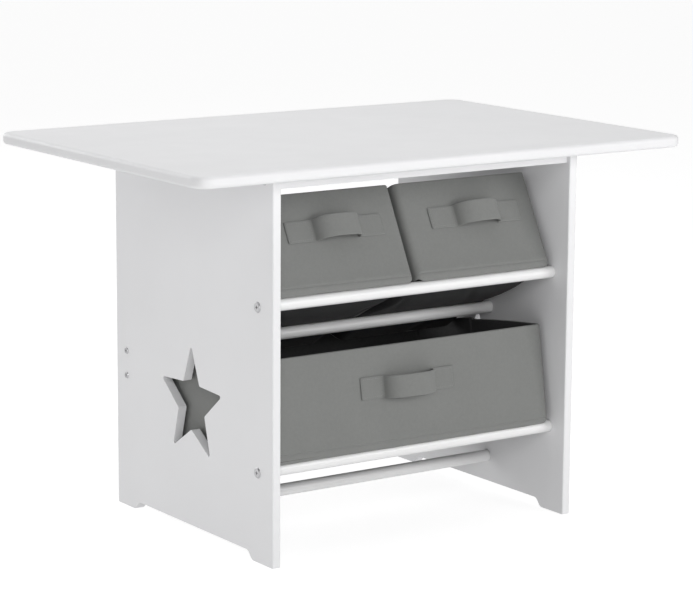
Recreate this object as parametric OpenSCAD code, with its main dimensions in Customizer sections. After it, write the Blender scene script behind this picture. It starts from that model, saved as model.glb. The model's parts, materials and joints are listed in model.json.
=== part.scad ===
// A child's activity table: a white board top on two board sides, with five round rods between
// them that carry three fabric storage bins. The bins slide forward along the slope they rest on.
// Origin: on the floor under the centre of the top. X runs along the table, -Y is the front.

/* [Top] */
// Overall height of the table
table_h = 500; // [460:5:560]
// Length of the top
top_l = 740; // [700:10:900]
// Width of the top, front to back
top_w = 500; // [480:10:600]
// Thickness of the top
top_t = 15; // [12:1:18]
// Corner radius of the top, seen from above
top_corner_r = 20; // [12:1:40]
// Radius worked on the top's upper and lower edges
top_edge_r = 5; // [3:0.5:6]

/* [Sides] */
// Distance between the outer faces of the two sides
side_span = 468; // [460:2:480]
// Depth of a side, front to back
side_d = 380; // [376:2:400]
// Thickness of a side
side_t = 12; // [12:1:15]
// How far the sides stand forward of the top's centre line
side_forward = 7; // [0:1:12]
// Radius on the long edges of a side
side_edge_r = 2; // [1:0.5:4]
// Length of each foot along the bottom of a side
foot_l = 43; // [35:1:60]
// Height of the cut between the feet
foot_h = 11; // [8:1:15]
// Slope of the step between a foot and the cut, in degrees
foot_lean = 52; // [35:1:60]

/* [Star cut-out] */
// Radius to the star's sharp points
star_r = 77.5; // [60:0.5:85]
// Radius to the corners between the points
star_inner_r = 33; // [28:0.5:38]
// Height of the star's centre above the floor
star_z = 170; // [150:1:200]
// Radius that rounds each point
star_tip_r = 2.5; // [1:0.5:4]

/* [Rods] */
// Diameter of a rod
rod_d = 16; // [14:1:18]
// Height of the upper front rod's axis
upper_rod_z = 321; // [318:1:326]
// Height of the lower front rod's axis
lower_rod_z = 114; // [110:1:120]
// Front rods' axis, behind the front edge of the sides
front_rod_in = 34; // [32:1:38]
// Rear rods' axis, behind the front rods'
rod_run = 131; // [126:1:134]
// Rear rods' axis, below the front rods'
rod_drop = 68; // [60:1:70]
// Depth of the blind sockets that hold the rods
socket_depth = 5; // [4:0.5:6]

/* [Rails] */
// Height of the rails under the top
rail_h = 17; // [15:1:18]
// Depth of the rails, front to back
rail_d = 25; // [20:1:26]
// How far a rail is set in from the edge of the sides
rail_in = 6; // [4:1:8]
// Height of the rear stretcher board
stretcher_h = 64; // [56:2:80]
// Thickness of the rear stretcher board
stretcher_t = 15; // [12:1:18]
// Height of the stretcher's centre above the floor
stretcher_z = 194.5; // [180:0.5:220]

/* [Bins] */
// Height of a bin's front wall
bin_h = 128; // [120:1:130]
// Width of a small bin
small_bin_w = 213; // [200:1:214]
// Depth of a small bin
small_bin_d = 235; // [220:1:240]
// Gap between the two small bins
small_bin_gap = 6; // [4:1:10]
// Width of the large bin
large_bin_w = 432; // [410:1:434]
// Depth of the large bin
large_bin_d = 280; // [260:1:300]
// How much higher the large bin's rear wall is than its front wall
large_bin_rise = 4; // [0:1:6]
// Slope that the large bin rests at, in degrees
large_bin_tilt = 9; // [9:0.5:10.5]
// Overhang of a bin in front of the rod under it
bin_overhang = 12; // [10:1:13]
// Radius of a bin's upright corners
bin_corner_r = 8.5; // [7:0.5:10]
// Thickness of the outer fabric
fabric_t = 1; // [0.8:0.1:1.2]
// Thickness of the dark lining
lining_t = 0.8; // [0.6:0.1:1]
// Thickness of the stiffening boards in the walls and the floor
board_t = 2.5; // [2:0.5:3]
// How far the front fabric hangs below the floor of a bin
hem_drop = 4; // [0:0.5:4]

/* [Handles] */
// Width of a handle strap
strap_w = 29; // [24:1:32]
// Thickness of a handle strap
strap_t = 2; // [1.5:0.5:3]
// Length of a strap, with both its sewn tabs
strap_l = 146; // [130:2:160]
// Length of the free loop in the middle
loop_l = 72; // [64:2:80]
// How far the loop stands out from the bin
loop_out = 24; // [22:1:26]
// Height of a strap's lower edge above the floor of the bin
strap_z = 62; // [55:1:70]

/* [Hidden] */
$fn = 48;

// Colours
white = [0.93, 0.93, 0.94];
steel = [0.62, 0.62, 0.64];
grey_fabric = [0.46, 0.47, 0.46];
dark_fabric = [0.09, 0.09, 0.09];
greyboard = [0.45, 0.40, 0.34];

// Sides and the levels that follow from them
side_h = table_h - top_t;
side_front = -side_d / 2 - side_forward;
side_rear = side_d / 2 - side_forward;
side_in = side_span / 2 - side_t;
star_in_r = 3;       // rounds the corners between the star's points
foot_round = 9;      // rounds both ends of the step beside a foot
arc_steps = 8;

// Rods: [y, z] of each axis
rod_r = rod_d / 2;
socket_slack = 0.4;
rod_l = 2 * (side_in + socket_depth) - 0.4;
upper_front = [side_front + front_rod_in, upper_rod_z];
upper_rear = upper_front + [rod_run, -rod_drop];
lower_front = [side_front + front_rod_in, lower_rod_z];
bottom = lower_front + [rod_run, -rod_drop];

// A bin's floor lies on its rods with a hair of clearance; its frame starts at the floor's front edge
rest_gap = 0.3;
small_bin_tilt = atan2(rod_drop, rod_run);
function along(tilt) = [cos(tilt), -sin(tilt)];
function above(tilt) = [sin(tilt), cos(tilt)];
function bin_start(rod, tilt) = rod + (rod_r + rest_gap) * above(tilt) - bin_overhang * along(tilt);
small_start = bin_start(upper_front, small_bin_tilt);
large_start = bin_start(lower_front, large_bin_tilt);
small_x = (small_bin_w + small_bin_gap) / 2;
support_in = 30;     // the support rod's place ahead of the large bin's rear edge
support = large_start + (large_bin_d - support_in) * along(large_bin_tilt)
          - (rod_r + rest_gap) * above(large_bin_tilt);

// Layers of a bin, from the outside in
slip = 0.1;          // between one layer and the next
board_in = fabric_t + slip;
lining_in = board_in + board_t + slip;
floor_in = lining_in + lining_t;
pocket_top = 6;      // the boards stop this far below the rim
board_end = bin_corner_r - 1;    // and this far from the bin's outside at the rounded corners

// Fasteners: head radius, head height, shank radius, shank length
rod_bolt = [7, 1.6, 3, 48];
side_screw = [4.6, 1.4, 1.75, 38];
top_screw = [3.6, 1.2, 1.75, 25];
pilot_slack = 0.05;
recess_l = 4.4;
recess_w = 1.1;
top_screw_x = side_in - 52;
rail_y = [side_front + rail_in + rail_d / 2, side_rear - rail_in - rail_d / 2];
rail_z = side_h - rail_h / 2;
stretcher_y = side_rear - 19 - stretcher_t / 2;
stretcher_pitch = 33;
rod_bolt_at = [upper_front, lower_front];
rail_screw_at = [for (y = rail_y) [y, rail_z]];
stretcher_screw_at = [for (s = [-1, 1]) [stretcher_y, stretcher_z + s * stretcher_pitch / 2]];

// ---- shared shapes ----

// Points of an arc about c, from angle a0 to a1
function arc(c, r, a0, a1, n = arc_steps) =
    [for (i = [0:n]) c + r * [cos(a0 + (a1 - a0) * i / n), sin(a0 + (a1 - a0) * i / n)]];

// The same rounding at each point and each inner corner of a five-pointed star
function star_half_angle() =
    atan2(star_inner_r * sin(36), star_r - star_inner_r * cos(36));
function star_outline() = let (tip = star_half_angle(), notch = 180 - 36 - tip)
    [for (k = [0:4]) let (
        a = 90 + 72 * k,
        tip_c = (star_r - star_tip_r / sin(tip)) * [cos(a), sin(a)],
        in_c = (star_inner_r + star_in_r / sin(notch)) * [cos(a + 36), sin(a + 36)])
        each concat(arc(tip_c, star_tip_r, a - 90 + tip, a + 90 - tip),
                    arc(in_c, star_in_r, a + 36 + 90 + notch, a + 36 + 270 - notch))];

// Outline of a side, y along and z up, with a softened step beside each foot
function foot_step() = let (
        r = foot_round, dir = [cos(foot_lean), sin(foot_lean)], off = [dir[1], -dir[0]],
        low = [foot_l, r], straight = (foot_h - 2 * r * (1 - dir[0])) / dir[1],
        high = low + 2 * r * off + straight * dir)
    concat(arc(low, r, -90, -90 + foot_lean), arc(high, r, 90 + foot_lean, 90));
function side_outline() = let (step = foot_step(), n = len(step))
    concat([[0, 0]], step,
           [for (i = [n - 1:-1:0]) [side_d - step[i][0], step[i][1]]],
           [[side_d, 0], [side_d, side_h], [0, side_h]]);

// Half section of the top's edge: flat inside, rounded at the outside, x from 0 to w
module edge_section(w) {
    square([w - top_edge_r, top_t]);
    translate([0, top_edge_r]) square([w, top_t - 2 * top_edge_r]);
    for (z = [top_edge_r, top_t - top_edge_r]) translate([w - top_edge_r, z]) circle(top_edge_r);
}

// A cylinder along +X from x
module bar(x, yz, r, l) {
    translate([x, yz[0], yz[1]]) rotate([0, 90, 0]) cylinder(r = r, h = l);
}

// A screw along +Z with its head's underside at z = 0 and a cross recess
module screw(s) {
    difference() {
        union() {
            translate([0, 0, -s[1]]) cylinder(r1 = s[0] * 0.82, r2 = s[0], h = s[1]);
            cylinder(r = s[2], h = s[3] - 3);
            translate([0, 0, s[3] - 3]) cylinder(r1 = s[2], r2 = 0.4, h = 3);
        }
        for (a = [0, 90]) rotate(a)
            translate([-recess_l / 2, -recess_w / 2, -s[1] - 1]) cube([recess_l, recess_w, 1 + s[1]]);
    }
}

// Screws driven inwards through both sides at each [y, z]
module side_screws(s, places) {
    for (p = places, m = [0, 1])
        mirror([m, 0, 0]) translate([-side_span / 2, p[0], p[1]]) rotate([0, 90, 0]) screw(s);
}

// ---- frame ----

module table_top() {
    edge_w = top_corner_r;
    color(white) translate([0, 0, side_h]) difference() {
        union() {
            cube_l = top_l - 2 * edge_w;
            cube_w = top_w - 2 * edge_w;
            translate([-cube_l / 2, -cube_w / 2, 0]) cube([cube_l, cube_w, top_t]);
            for (a = [0, 180]) rotate(a) {
                translate([cube_l / 2, cube_w / 2, 0]) rotate([90, 0, 0])
                    linear_extrude(cube_w) edge_section(edge_w);
                translate([-cube_l / 2, cube_w / 2, 0]) rotate([90, 0, 90])
                    linear_extrude(cube_l) edge_section(edge_w);
            }
            for (q = [[1, 1, 0], [-1, 1, 90], [-1, -1, 180], [1, -1, 270]])
                translate([q[0] * cube_l / 2, q[1] * cube_w / 2, 0]) rotate(q[2])
                    rotate_extrude(angle = 90) edge_section(edge_w);
        }
        for (x = [-top_screw_x, 0, top_screw_x], y = rail_y) translate([x, y, -1])
            cylinder(r = top_screw[2] + pilot_slack, h = 10);
    }
}

// One side, drawn for the left and mirrored for the right
module side_panel(m) {
    color(white) mirror([m, 0, 0]) difference() {
        intersection() {
            translate([-side_span / 2, side_front, 0]) rotate([90, 0, 90])
                linear_extrude(side_t) polygon(side_outline());
            translate([-side_span / 2, side_front, -1]) linear_extrude(side_h + 2) side_section();
        }
        translate([-side_span / 2 - 1, -side_forward, star_z]) rotate([90, 0, 90])
            linear_extrude(side_t + 2) polygon(star_outline());
        for (p = [upper_front, upper_rear, lower_front, support, bottom])
            bar(-side_in - socket_depth, p, rod_r + socket_slack, socket_depth + 1);
        for (p = rod_bolt_at) bar(-side_span / 2 - 1, p, rod_bolt[2] + 0.3, side_t);
        for (p = concat(rail_screw_at, stretcher_screw_at))
            bar(-side_span / 2 - 1, p, side_screw[2] + 0.3, side_t + 2);
    }
}

// A side seen from above: a board with its four long edges rounded
module side_section() {
    r = side_edge_r;
    translate([r, 0]) square([side_t - 2 * r, side_d]);
    translate([0, r]) square([side_t, side_d - 2 * r]);
    for (x = [r, side_t - r], y = [r, side_d - r]) translate([x, y]) circle(r);
}

module left_side_panel() { side_panel(0); }
module right_side_panel() { side_panel(1); }

// A rail under the top, with holes up into the top and into its ends
module top_rail(y) {
    color(white) difference() {
        translate([-side_in, y - rail_d / 2, side_h - rail_h]) cube([2 * side_in, rail_d, rail_h]);
        for (x = [-top_screw_x, 0, top_screw_x]) translate([x, y, side_h - rail_h - 1])
            cylinder(r = top_screw[2] + 0.3, h = rail_h + 2);
        for (m = [0, 1]) mirror([m, 0, 0])
            bar(-side_in - 1, [y, rail_z], side_screw[2] + pilot_slack, side_screw[3] - side_t + 2);
    }
}

module front_top_rail() { top_rail(rail_y[0]); }
module rear_top_rail() { top_rail(rail_y[1]); }

module rear_stretcher() {
    color(white) difference() {
        translate([-side_in, stretcher_y - stretcher_t / 2, stretcher_z - stretcher_h / 2])
            cube([2 * side_in, stretcher_t, stretcher_h]);
        for (p = stretcher_screw_at, m = [0, 1]) mirror([m, 0, 0])
            bar(-side_in - 1, p, side_screw[2] + pilot_slack, side_screw[3] - side_t + 2);
    }
}

// A rod; the bolted ones are drilled at both ends
module rod(p, bolted) {
    color(white) difference() {
        bar(-rod_l / 2, p, rod_r, rod_l);
        if (bolted) for (m = [0, 1]) mirror([m, 0, 0])
            bar(-rod_l / 2 - 1, p, rod_bolt[2] + pilot_slack, rod_bolt[3]);
    }
}

module upper_front_rod() { rod(upper_front, true); }
module upper_rear_rod() { rod(upper_rear, false); }
module lower_front_rod() { rod(lower_front, true); }
module bin_support_rod() { rod(support, false); }
module bottom_rod() { rod(bottom, false); }

// ---- fasteners ----

module rod_bolts() { color(steel) side_screws(rod_bolt, rod_bolt_at); }
module rail_screws() { color(steel) side_screws(side_screw, rail_screw_at); }
module stretcher_screws() { color(steel) side_screws(side_screw, stretcher_screw_at); }
module top_screws() {
    color(steel) for (x = [-top_screw_x, 0, top_screw_x], y = rail_y)
        translate([x, y, side_h - rail_h]) screw(top_screw);
}

// ---- bins, drawn in their own frame: x from the middle, y from the front, z from the floor ----

// Puts a bin's piece where the bin stands: start is [y, z]
module on_slope(x, start, tilt) {
    translate([x, start[0], start[1]]) rotate([-tilt, 0, 0]) children();
}

// A bin's outline seen from above, inset by e, with rounded corners
module bin_outline(w, d, e) {
    r = bin_corner_r - e;
    translate([-w / 2 + bin_corner_r, e]) square([w - 2 * bin_corner_r, d - 2 * e]);
    translate([-w / 2 + e, bin_corner_r]) square([w - 2 * e, d - 2 * bin_corner_r]);
    for (x = [-1, 1], y = [bin_corner_r, d - bin_corner_r])
        translate([x * (w / 2 - bin_corner_r), y]) circle(r);
}

// A solid inside the bin's outline, inset by e, from height z0 to the rim raised by lift
module bin_prism(w, d, rise, e, z0, lift) {
    function rim(y) = bin_h + rise * y / d + lift;
    intersection() {
        translate([0, 0, z0]) linear_extrude(bin_h + rise + lift - z0 + 1) bin_outline(w, d, e);
        translate([-w / 2 - 1, 0, 0]) rotate([90, 0, 90]) linear_extrude(w + 2)
            polygon([[-1, z0 - 1], [d + 1, z0 - 1], [d + 1, rim(d + 1)], [-1, rim(-1)]]);
    }
}

module bin_cover(w, d, rise) {
    difference() {
        bin_prism(w, d, rise, 0, 0, 0);
        bin_prism(w, d, rise, fabric_t, -1, 1);
    }
    translate([-w / 2 + bin_corner_r, 0, -hem_drop]) cube([w - 2 * bin_corner_r, fabric_t, hem_drop]);
}

module bin_lining(w, d, rise) {
    difference() {
        bin_prism(w, d, rise, lining_in, lining_in, -slip);
        bin_prism(w, d, rise, floor_in, floor_in, 1);
    }
}

module bin_underside(w, d) {
    linear_extrude(fabric_t) bin_outline(w, d, fabric_t + slip);
}

module bin_base_board(w, d) {
    e = board_in + board_t + slip;
    translate([-w / 2 + e, e, board_in]) cube([w - 2 * e, d - 2 * e, board_t]);
}

// The boards stop short of the bin's rounded corners
module bin_cross_board(w, d, rise, rear) {
    y = rear ? d - board_in - board_t : board_in;
    top = bin_h + rise * y / d - pocket_top;
    translate([-w / 2 + board_end, y, board_in]) cube([w - 2 * board_end, board_t, top - board_in]);
}

module bin_side_board(w, d, rise, right) {
    e = board_end;
    function top(y) = bin_h + rise * y / d - pocket_top;
    x = right ? w / 2 - board_in - board_t : -w / 2 + board_in;
    translate([x, 0, 0]) rotate([90, 0, 90]) linear_extrude(board_t)
        polygon([[e, board_in], [d - e, board_in], [d - e, top(d - e)], [e, top(e)]]);
}

// A strap sewn flat at both ends, with a loop that stands out between its tabs
module bin_handle() {
    loop_n = 2.4;    // squareness of the loop
    steps = 24;
    function loop(half, out) = [for (i = [0:steps]) let (a = 180 - 180 * i / steps,
        c = cos(a), s = sin(a))
        [half * sign(c) * pow(abs(c), 2 / loop_n), -out * pow(abs(s), 2 / loop_n)]];
    outer = [for (p = loop(loop_l / 2, loop_out)) if (p[1] < -strap_t) p];
    inner = loop(loop_l / 2 - strap_t, loop_out - strap_t);
    end = strap_l / 2;
    translate([0, 0, strap_z]) linear_extrude(strap_w)
        polygon(concat([[-end, 0], [-end, -strap_t]], outer, [[end, -strap_t], [end, 0]],
                       [for (i = [steps:-1:0]) inner[i]]));
}

module small_bin_at(side) { on_slope(side * small_x, small_start, small_bin_tilt) children(); }
module large_bin_at() { on_slope(0, large_start, large_bin_tilt) children(); }

module left_bin_cover() { color(grey_fabric) small_bin_at(-1) bin_cover(small_bin_w, small_bin_d, 0); }
module left_bin_lining() { color(dark_fabric) small_bin_at(-1) bin_lining(small_bin_w, small_bin_d, 0); }
module left_bin_underside() { color(dark_fabric) small_bin_at(-1) bin_underside(small_bin_w, small_bin_d); }
module left_bin_base_board() { color(greyboard) small_bin_at(-1) bin_base_board(small_bin_w, small_bin_d); }
module left_bin_front_board() {
    color(greyboard) small_bin_at(-1) bin_cross_board(small_bin_w, small_bin_d, 0, false);
}
module left_bin_rear_board() {
    color(greyboard) small_bin_at(-1) bin_cross_board(small_bin_w, small_bin_d, 0, true);
}
module left_bin_left_board() {
    color(greyboard) small_bin_at(-1) bin_side_board(small_bin_w, small_bin_d, 0, false);
}
module left_bin_right_board() {
    color(greyboard) small_bin_at(-1) bin_side_board(small_bin_w, small_bin_d, 0, true);
}
module left_bin_handle() { color(grey_fabric) small_bin_at(-1) bin_handle(); }

module right_bin_cover() { color(grey_fabric) small_bin_at(1) bin_cover(small_bin_w, small_bin_d, 0); }
module right_bin_lining() { color(dark_fabric) small_bin_at(1) bin_lining(small_bin_w, small_bin_d, 0); }
module right_bin_underside() { color(dark_fabric) small_bin_at(1) bin_underside(small_bin_w, small_bin_d); }
module right_bin_base_board() { color(greyboard) small_bin_at(1) bin_base_board(small_bin_w, small_bin_d); }
module right_bin_front_board() {
    color(greyboard) small_bin_at(1) bin_cross_board(small_bin_w, small_bin_d, 0, false);
}
module right_bin_rear_board() {
    color(greyboard) small_bin_at(1) bin_cross_board(small_bin_w, small_bin_d, 0, true);
}
module right_bin_left_board() {
    color(greyboard) small_bin_at(1) bin_side_board(small_bin_w, small_bin_d, 0, false);
}
module right_bin_right_board() {
    color(greyboard) small_bin_at(1) bin_side_board(small_bin_w, small_bin_d, 0, true);
}
module right_bin_handle() { color(grey_fabric) small_bin_at(1) bin_handle(); }

module large_bin_cover() {
    color(grey_fabric) large_bin_at() bin_cover(large_bin_w, large_bin_d, large_bin_rise);
}
module large_bin_lining() {
    color(dark_fabric) large_bin_at() bin_lining(large_bin_w, large_bin_d, large_bin_rise);
}
module large_bin_underside() { color(dark_fabric) large_bin_at() bin_underside(large_bin_w, large_bin_d); }
module large_bin_base_board() { color(greyboard) large_bin_at() bin_base_board(large_bin_w, large_bin_d); }
module large_bin_front_board() {
    color(greyboard) large_bin_at() bin_cross_board(large_bin_w, large_bin_d, large_bin_rise, false);
}
module large_bin_rear_board() {
    color(greyboard) large_bin_at() bin_cross_board(large_bin_w, large_bin_d, large_bin_rise, true);
}
module large_bin_left_board() {
    color(greyboard) large_bin_at() bin_side_board(large_bin_w, large_bin_d, large_bin_rise, false);
}
module large_bin_right_board() {
    color(greyboard) large_bin_at() bin_side_board(large_bin_w, large_bin_d, large_bin_rise, true);
}
module large_bin_handle() { color(grey_fabric) large_bin_at() bin_handle(); }

table_top();
left_side_panel();
right_side_panel();
front_top_rail();
rear_top_rail();
rear_stretcher();
upper_front_rod();
upper_rear_rod();
lower_front_rod();
bin_support_rod();
bottom_rod();
rod_bolts();
rail_screws();
stretcher_screws();
top_screws();
left_bin_cover();
left_bin_lining();
left_bin_underside();
left_bin_base_board();
left_bin_front_board();
left_bin_rear_board();
left_bin_left_board();
left_bin_right_board();
left_bin_handle();
right_bin_cover();
right_bin_lining();
right_bin_underside();
right_bin_base_board();
right_bin_front_board();
right_bin_rear_board();
right_bin_left_board();
right_bin_right_board();
right_bin_handle();
large_bin_cover();
large_bin_lining();
large_bin_underside();
large_bin_base_board();
large_bin_front_board();
large_bin_rear_board();
large_bin_left_board();
large_bin_right_board();
large_bin_handle();
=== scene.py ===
import json
import math

import bmesh
import bpy
from mathutils import Matrix, Vector, noise


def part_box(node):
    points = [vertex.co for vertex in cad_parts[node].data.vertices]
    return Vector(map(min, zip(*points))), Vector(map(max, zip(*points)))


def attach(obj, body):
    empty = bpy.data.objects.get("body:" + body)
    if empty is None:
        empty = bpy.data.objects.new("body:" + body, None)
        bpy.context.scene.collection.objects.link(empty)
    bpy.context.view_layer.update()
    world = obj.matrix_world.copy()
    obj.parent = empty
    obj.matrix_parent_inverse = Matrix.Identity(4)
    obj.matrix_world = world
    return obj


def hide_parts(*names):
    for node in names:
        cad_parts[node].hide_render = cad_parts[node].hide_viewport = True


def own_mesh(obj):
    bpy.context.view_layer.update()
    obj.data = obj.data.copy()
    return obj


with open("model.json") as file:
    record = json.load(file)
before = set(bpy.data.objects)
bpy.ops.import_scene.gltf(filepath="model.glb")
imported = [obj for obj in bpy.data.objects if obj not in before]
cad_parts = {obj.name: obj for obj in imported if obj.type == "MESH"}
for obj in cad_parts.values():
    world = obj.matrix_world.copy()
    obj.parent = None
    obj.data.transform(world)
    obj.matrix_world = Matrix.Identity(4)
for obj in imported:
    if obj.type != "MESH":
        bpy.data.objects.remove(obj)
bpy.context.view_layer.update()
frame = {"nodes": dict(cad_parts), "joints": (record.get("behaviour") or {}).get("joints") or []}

bl_info = {
    "name": "Activity table with storage bins",
    "version": (1, 0, 0),
    "blender": (4, 5, 0),
    "location": "View3D > Sidebar > Activity table",
    "description": "Finishes a white child's table and sews the three grey fabric bins on its rods",
    "category": "Object",
}

MM = 0.001

BOARD_NODES = ("table_top", "left_side_panel", "right_side_panel", "front_top_rail",
               "rear_top_rail", "rear_stretcher")
ROD_NODES = ("upper_front_rod", "upper_rear_rod", "lower_front_rod", "bin_support_rod", "bottom_rod")
SCREW_NODES = ("rod_bolts", "rail_screws", "stretcher_screws", "top_screws")
STIFFENERS = ("base_board", "front_board", "rear_board", "left_board", "right_board")
BINS = ("left_bin", "right_bin", "large_bin")
# Where each bin's waves and folds start in the noise, so that no two are alike
CREASE = {"left_bin": 0.0, "right_bin": 1.7, "large_bin": 3.1}
# How far right of the middle each strap is sewn, and how much wider its loop is each side, in mm
SEWN_OFF = {"left_bin": 7.0, "right_bin": 6.5, "large_bin": -8.0}
LOOP_SLACK = {"left_bin": 0.0, "right_bin": 0.0, "large_bin": 5.0}
# Folds in each underside, in mm: where one starts and ends, x and back from the front, and its width
FOLDS = {
    "left_bin": (((108, 66), (84, 156), 3.5), ((96, 66), (72, 156), 3.5), ((-70, 50), (-30, 135), 6.0)),
    "right_bin": (((-104, 26), (-70, 120), 4.0), ((10, 50), (60, 140), 6.0), ((70, 170), (20, 230), 6.0)),
    "large_bin": (((-120, 30), (-60, 220), 7.0), ((60, 40), (120, 230), 7.0)),
}
# From the outside of a bin in to its lining, and to the edge of its underside
LINING_GAP = 3.75 * MM
UNDER_INSET = 3.4 * MM
# How many straight pieces make a strap's tab, and its loop
TAB_STEPS, LOOP_STEPS = 6, 32
# The Mix node's colour sockets, which its names don't tell apart
MIX_A, MIX_B, MIX_RESULT = 6, 7, 2
# Beyond this depth a point of a front wall is round the corner, on a side wall
FRONT_SKIN = 6 * MM


# ---- sizes and colours a user may change ----

class PaintSettings(bpy.types.PropertyGroup):
    """White paint on the boards and rods."""
    board_colour: bpy.props.FloatVectorProperty(
        name="Board colour", description="Colour of the painted boards", subtype="COLOR",
        size=3, min=0, max=1, default=(0.765, 0.765, 0.775))
    rod_colour: bpy.props.FloatVectorProperty(
        name="Rod colour", description="Colour of the painted rods", subtype="COLOR",
        size=3, min=0, max=1, default=(0.79, 0.79, 0.79))
    roughness: bpy.props.FloatProperty(
        name="Roughness", description="Roughness of the satin paint", subtype="FACTOR",
        min=0, max=1, default=0.42)
    orange_peel: bpy.props.FloatProperty(
        name="Orange peel", description="Height of the fine ripple that spraying leaves",
        unit="LENGTH", min=0, max=0.001, precision=5, default=0.00006)


class SteelSettings(bpy.types.PropertyGroup):
    """Zinc-plated screw heads."""
    colour: bpy.props.FloatVectorProperty(
        name="Steel colour", description="Colour of the plated screws", subtype="COLOR",
        size=3, min=0, max=1, default=(0.60, 0.60, 0.61))
    roughness: bpy.props.FloatProperty(
        name="Roughness", description="Roughness of the plating", subtype="FACTOR",
        min=0, max=1, default=0.34)


class FabricSettings(bpy.types.PropertyGroup):
    """Non-woven fabric of the bins."""
    cover_colour: bpy.props.FloatVectorProperty(
        name="Cover colour", description="Colour of the outer fabric and the straps", subtype="COLOR",
        size=3, min=0, max=1, default=(0.207, 0.211, 0.204))
    lining_colour: bpy.props.FloatVectorProperty(
        name="Lining colour", description="Colour of the lining inside a bin", subtype="COLOR",
        size=3, min=0, max=1, default=(0.046, 0.046, 0.047))
    underside_colour: bpy.props.FloatVectorProperty(
        name="Underside colour", description="Colour of the cloth under a bin", subtype="COLOR",
        size=3, min=0, max=1, default=(0.023, 0.023, 0.024))
    greyboard_colour: bpy.props.FloatVectorProperty(
        name="Greyboard colour", description="Colour of the stiffening boards", subtype="COLOR",
        size=3, min=0, max=1, default=(0.085, 0.085, 0.083))
    dot_pitch: bpy.props.FloatProperty(
        name="Dot pitch", description="Distance between the bonding dots pressed into the fabric",
        unit="LENGTH", min=0.0005, max=0.003, precision=5, default=0.0011)
    roughness: bpy.props.FloatProperty(
        name="Roughness", description="Roughness of the fabric", subtype="FACTOR",
        min=0, max=1, default=0.88)


class BinSettings(bpy.types.PropertyGroup):
    """Sewn shape of the bins."""
    corner_radius: bpy.props.FloatProperty(
        name="Corner radius", description="Radius of the upright corners", unit="LENGTH",
        min=0.002, max=0.02, default=0.0085)
    rim_width: bpy.props.FloatProperty(
        name="Rim width", description="Width of the turned-over rim", unit="LENGTH",
        min=0.002, max=0.01, default=0.0046)
    cloth_thickness: bpy.props.FloatProperty(
        name="Cloth thickness", description="Thickness of the outer fabric and the lining",
        unit="LENGTH", min=0.0003, max=0.002, precision=5, default=0.0008)
    lip_height: bpy.props.FloatProperty(
        name="Lip height", description="Height of the crease above the floor of the bin, where the "
        "front turns under", unit="LENGTH", min=0.002, max=0.015, default=0.0062)
    lip_drop: bpy.props.FloatProperty(
        name="Lip drop", description="How far the front's lower lip hangs below the floor of the bin",
        unit="LENGTH", min=0, max=0.006, default=0.0042)
    bulge: bpy.props.FloatProperty(
        name="Bulge", description="How far the fabric stands off its boards in the middle of a wall",
        unit="LENGTH", min=0, max=0.004, default=0.0009)
    rumple: bpy.props.FloatProperty(
        name="Rumple", description="Height of the soft waves in the fabric", unit="LENGTH",
        min=0, max=0.003, precision=5, default=0.0006)
    sag: bpy.props.FloatProperty(
        name="Sag", description="How far the loose underside of a small bin hangs between its rods",
        unit="LENGTH", min=0, max=0.012, default=0.0085)
    crown: bpy.props.FloatProperty(
        name="Crown", description="How far the large bin's side rims stand up at their fold",
        unit="LENGTH", min=0, max=0.006, default=0.0036)
    droop: bpy.props.FloatProperty(
        name="Droop", description="How far a small bin's lower rear edge hangs behind its rear rod",
        unit="LENGTH", min=0, max=0.012, default=0.0105)


class HandleSettings(bpy.types.PropertyGroup):
    """Strap handle on the front of each bin."""
    thickness: bpy.props.FloatProperty(
        name="Strap thickness", description="Thickness of the folded strap", unit="LENGTH",
        min=0.001, max=0.003, precision=5, default=0.0018)
    squareness: bpy.props.FloatProperty(
        name="Loop squareness", description="How flat the front of the loop is", min=1.5, max=4,
        default=2.35)
    stitch_length: bpy.props.FloatProperty(
        name="Stitch length", description="Length of one stitch", unit="LENGTH",
        min=0.001, max=0.005, default=0.0023)
    stitch_pitch: bpy.props.FloatProperty(
        name="Stitch pitch", description="Distance from one stitch to the next", unit="LENGTH",
        min=0.002, max=0.008, default=0.0032)


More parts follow.
